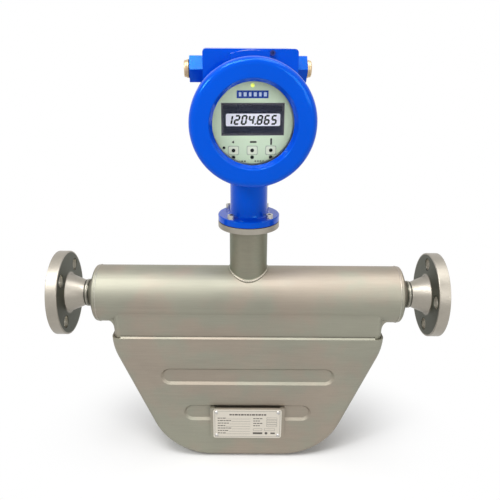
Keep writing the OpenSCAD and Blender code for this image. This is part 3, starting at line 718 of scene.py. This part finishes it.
class METER_OT_front_plate_print(bpy.types.Operator):
    """Key boxes, arrows and strip printed on the front plate, and the display's number"""

    bl_idname = "meter.front_plate_print"
    bl_label = "Front plate print"

    plate, screen = -40.0, -39.6
    key_columns, key_row = (-20.6, 0, 20.6), -30.0

    def execute(self, context):
        self.key_boxes()
        self.marks()
        self.strip()
        self.display()
        return {"FINISHED"}

    def key_boxes(self):
        """A box round each key, and a field of the plate's own colour inside it."""
        line = 0.45
        boxes = [(x, self.key_row, 11.8, 9.9) for x in self.key_columns]
        fields = [(x, z, width - 2 * line, height - 2 * line) for x, z, width, height in boxes]
        self.boxes("key_box_lines", boxes, self.plate, "print_fine")
        self.boxes("key_box_fields", fields, self.plate, "panel_print", INK * 1.5)

    def marks(self):
        """Arrow, dash and stroke over the keys, dots on, under and beside them, bars at the foot."""
        over, lamps, foot = -20.8, -37.6, -41.9
        bm = bmesh.new()
        slabs(bm, [(1.1, over, 7.2, 1.9), (20.8, over + 0.3, 1.9, 7.0)], self.plate)
        spots(bm, [(-20.9, over, 1.9)], self.plate, 3, turn=math.pi / 2)
        spots(bm, [(-31, -27, 1.6)], self.plate)
        dots = [(x, z, 2.1) for x in self.key_columns for z in (self.key_row, lamps)]
        spots(bm, dots, self.plate - 0.04)
        slabs(bm, [(-14 + 3 * k, foot, 1.9, 1.3) for k in range(3)], self.plate)
        slabs(bm, [(3.6 + 2.9 * k, foot, 1.8, 1.2) for k in range(4)], self.plate)
        piece(bm, "front_plate_marks", "print_dark", IN_HEAD)

    def strip(self):
        """A blue strip over the display, with light bars."""
        row = 29.6
        bars = [(-13.4 + 5.4 * k, row, 2.6 + 0.6 * (k % 2), 4.2) for k in range(6)]
        self.bars("front_plate_strip", [(0, row, 34, 8.0)], self.plate, "print_blue")
        self.bars("front_plate_strip_lines", bars, self.plate - INK, "print_white")

    def display(self):
        """The screen's dark surround, its light field, and a number that leans to the right."""
        row, lean, reading = 2.9, 0.18, "1204.865"
        self.bars("display_surround", outline(0.5, 3.5, 68.4, 34.6, 2.4), self.plate, "screen_dark")
        self.boxes("display_field", [(0.8, row, 59, 13.2)], self.screen, "screen_light")
        bm = bmesh.new()
        digits(bm, reading, -26.6, 8.8, self.screen - INK)
        leaning = Matrix(((1, 0, lean, 0), (0, 1, 0, 0), (0, 0, 1, row), (0, 0, 0, 1)))
        bmesh.ops.transform(bm, matrix=leaning, verts=bm.verts)
        piece(bm, "display_number", "print_dark", IN_HEAD)

    def bars(self, name, rows, y, finish_name):
        bm = bmesh.new()
        slabs(bm, rows, y)
        piece(bm, name, finish_name, IN_HEAD)

    def boxes(self, name, rows, y, finish_name, thick=INK):
        bm = bmesh.new()
        rounded(bm, rows, y, thick)
        piece(bm, name, finish_name, IN_HEAD)


class METER_OT_nameplate_print(bpy.types.Operator):
    """Table lines, boxes and bars printed on the nameplate"""

    bl_idname = "meter.nameplate_print"
    bl_label = "Nameplate print"

    word_widths = (3.1, 2.2, 4.2, 2.8, 3.6, 2.4)

    def execute(self, context):
        low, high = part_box("nameplate")
        y, middle = low.y * 1000, (low.z + high.z) * 500
        ink, line, rule = 0.05, 0.3, 0.25
        rows = outline(0, middle, 88, 42, line)
        rows += self.words(-24, middle + 15.2, 2.3, 0.8, range(13))[0]
        for k in range(7):
            z = middle + 9.6 - 4.1 * k
            bars, end = self.words(-40, z, 1.3, 0.7, range(k, k + 3 + (k * 5) % 3))
            rows += bars + [((end + 4) / 2, z - 1.3, 4 - end, rule)]
        for k in range(4):
            z = middle + 9.0 - 3.9 * k
            rows += self.words(8, z, 1.3, 0.7, range(k, k + 6, 2))[0] + outline(33, z, 14, 3.2, line)
        lower, lowest = middle - 9.2, middle - 15.2
        rows += outline(14, lower, 12, 3.6, line) + outline(30, lower, 14, 3.6, line)
        rows += [(14, lowest, 13, 3.0), (34.5, lowest, 6, 2.6)]
        bm = bmesh.new()
        slabs(bm, rows, y, ink)
        spots(bm, [(25.5, lowest, 2.0)], y, 24, ink)
        piece(bm, "nameplate_marks", "print_grey")
        return {"FINISHED"}

    def words(self, x, z, height, gap, picks):
        """Bars from x on that stand for words, and the x where the next one would start."""
        rows = []
        for pick in picks:
            wide = self.word_widths[pick % len(self.word_widths)]
            rows.append((x + wide / 2, z, wide, height))
            x += wide + gap
        return rows, x


# ---------- Stage ----------


class METER_OT_stage(bpy.types.Operator):
    """Floor, studio lamps and camera"""

    bl_idname = "meter.stage"
    bl_label = "Stage"

    def execute(self, context):
        scene = context.scene
        scene.view_settings.view_transform = "Standard"
        self.camera(scene)
        self.floor(scene)
        self.lamps(scene)
        self.sky(scene)
        return {"FINISHED"}

    def camera(self, scene):
        """Stands in front and a little above, and looks down at the meter."""
        place = Vector((MID_X - 0.00065, -0.6352, 0.3076))
        yaw, pitch, roll = 0.004, -0.371, 0.008
        ahead = Vector((math.sin(yaw) * math.cos(pitch), math.cos(yaw) * math.cos(pitch), math.sin(pitch)))
        right = Vector((math.cos(yaw), -math.sin(yaw), 0))
        up = right.cross(ahead)
        side = right * math.cos(roll) + up * math.sin(roll)
        top = up * math.cos(roll) - right * math.sin(roll)
        data = bpy.data.cameras.new("camera")
        data.lens, data.sensor_width, data.clip_end = 38.86, 36, 20
        camera = bpy.data.objects.new("camera", data)
        turn = Matrix((side, top, -ahead)).transposed()
        camera.matrix_world = Matrix.Translation(place) @ turn.to_4x4()
        scene.collection.objects.link(camera)
        scene.camera = camera

    def floor(self, scene):
        """Pale under the meter, where its shadow falls, and white further out."""
        half, drop, shadow = 4, 0.0002, (60, 230)
        bm = bmesh.new()
        bmesh.ops.create_grid(bm, x_segments=2, y_segments=2, size=half)
        bmesh.ops.translate(bm, verts=bm.verts, vec=(MID_X, 0, cad_box[0][2] - drop))
        mesh = bpy.data.meshes.new("floor")
        bm.to_mesh(mesh)
        bm.free()
        ground = Finish("floor", (0.86, 0.86, 0.86, 1), 0.0, 0.9)
        x, y, z = ground.axes((MID_X * 1000, 0, 0))
        fade = (x * x * 0.5 + y * y).math("SQRT").ramp(*shadow)
        white = ground.node("Emission", None, {"Color": WHITE, "Strength": 1.0})
        ground.mixed_end("Material Output", fade * ground.backdrop_rays(), ground.shader, white)
        mesh.materials.append(ground.material)
        floor = bpy.data.objects.new("floor", mesh)
        scene.collection.objects.link(floor)

    def lamps(self, scene):
        """Soft lamps, with place, aim and size in metres and power in watts."""
        for name, place, aim, size, power in (
            ("key", (-0.35, -0.6, 1.6), (0, 0, 0.05), (0.9, 0.5), 15),
            ("top", (0.5, -0.25, 1.7), (0, 0, 0), (1.2, 0.8), 11),
            ("fill", (0.75, -1.1, 0.55), (0.1, 0, 0.05), (0.5, 0.6), 3.5),
            ("edge", (-0.8, -0.72, 0.85), (0, 0, 0.22), (0.24, 0.24), 6),
        ):
            data = bpy.data.lights.new(name, "AREA")
            data.shape = "RECTANGLE"
            data.size, data.size_y = size
            data.energy = power
            lamp = bpy.data.objects.new(name, data)
            start, end = (Vector((MID_X + spot[0], *spot[1:])) for spot in (place, aim))
            turn = (end - start).to_track_quat("-Z", "Y")
            lamp.matrix_world = Matrix.Translation(start) @ turn.to_matrix().to_4x4()
            scene.collection.objects.link(lamp)

    def sky(self, scene):
        """Plain light all round, which the backdrop's rays find white."""
        ambient = 0.33
        world = bpy.data.worlds.new("sky")
        scene.world = world
        world.use_nodes = True
        sky = Graph(world.node_tree)
        dim = sky.tree.nodes["Background"]
        sky.plug(dim.inputs["Color"], WHITE)
        sky.plug(dim.inputs["Strength"], ambient)
        white = sky.node("Background", None, {"Color": WHITE, "Strength": 1.0})
        sky.mixed_end("World Output", sky.backdrop_rays(), dim, white)


# ---------- Panel and start ----------


OPERATORS = (
    METER_OT_finishes, METER_OT_rounded_edges, METER_OT_welds, METER_OT_front_plate_print,
    METER_OT_nameplate_print, METER_OT_stage,
)


class METER_PT_panel(bpy.types.Panel):
    """Flow meter tools"""

    bl_idname = "METER_PT_panel"
    bl_label = "Flow meter"
    bl_space_type = "VIEW_3D"
    bl_region_type = "UI"
    bl_category = "Flow meter"

    def draw(self, context):
        for group, settings in (
            (MeterColours, context.scene.meter_colours), (MeterSizes, context.scene.meter_sizes),
        ):
            for name in group.__annotations__:
                self.layout.prop(settings, name)
        for operator in OPERATORS:
            self.layout.operator(operator.bl_idname)


CLASSES = (MeterColours, MeterSizes, *OPERATORS, METER_PT_panel)


def register():
    for made in CLASSES:
        bpy.utils.register_class(made)
    bpy.types.Scene.meter_colours = PointerProperty(type=MeterColours)
    bpy.types.Scene.meter_sizes = PointerProperty(type=MeterSizes)


def unregister():
    del bpy.types.Scene.meter_colours, bpy.types.Scene.meter_sizes
    for made in reversed(CLASSES):
        bpy.utils.unregister_class(made)


def main():
    register()
    for operator in OPERATORS:
        group, name = operator.bl_idname.split(".")
        getattr(getattr(bpy.ops, group), name)()


if __name__ == "__main__":
    main()
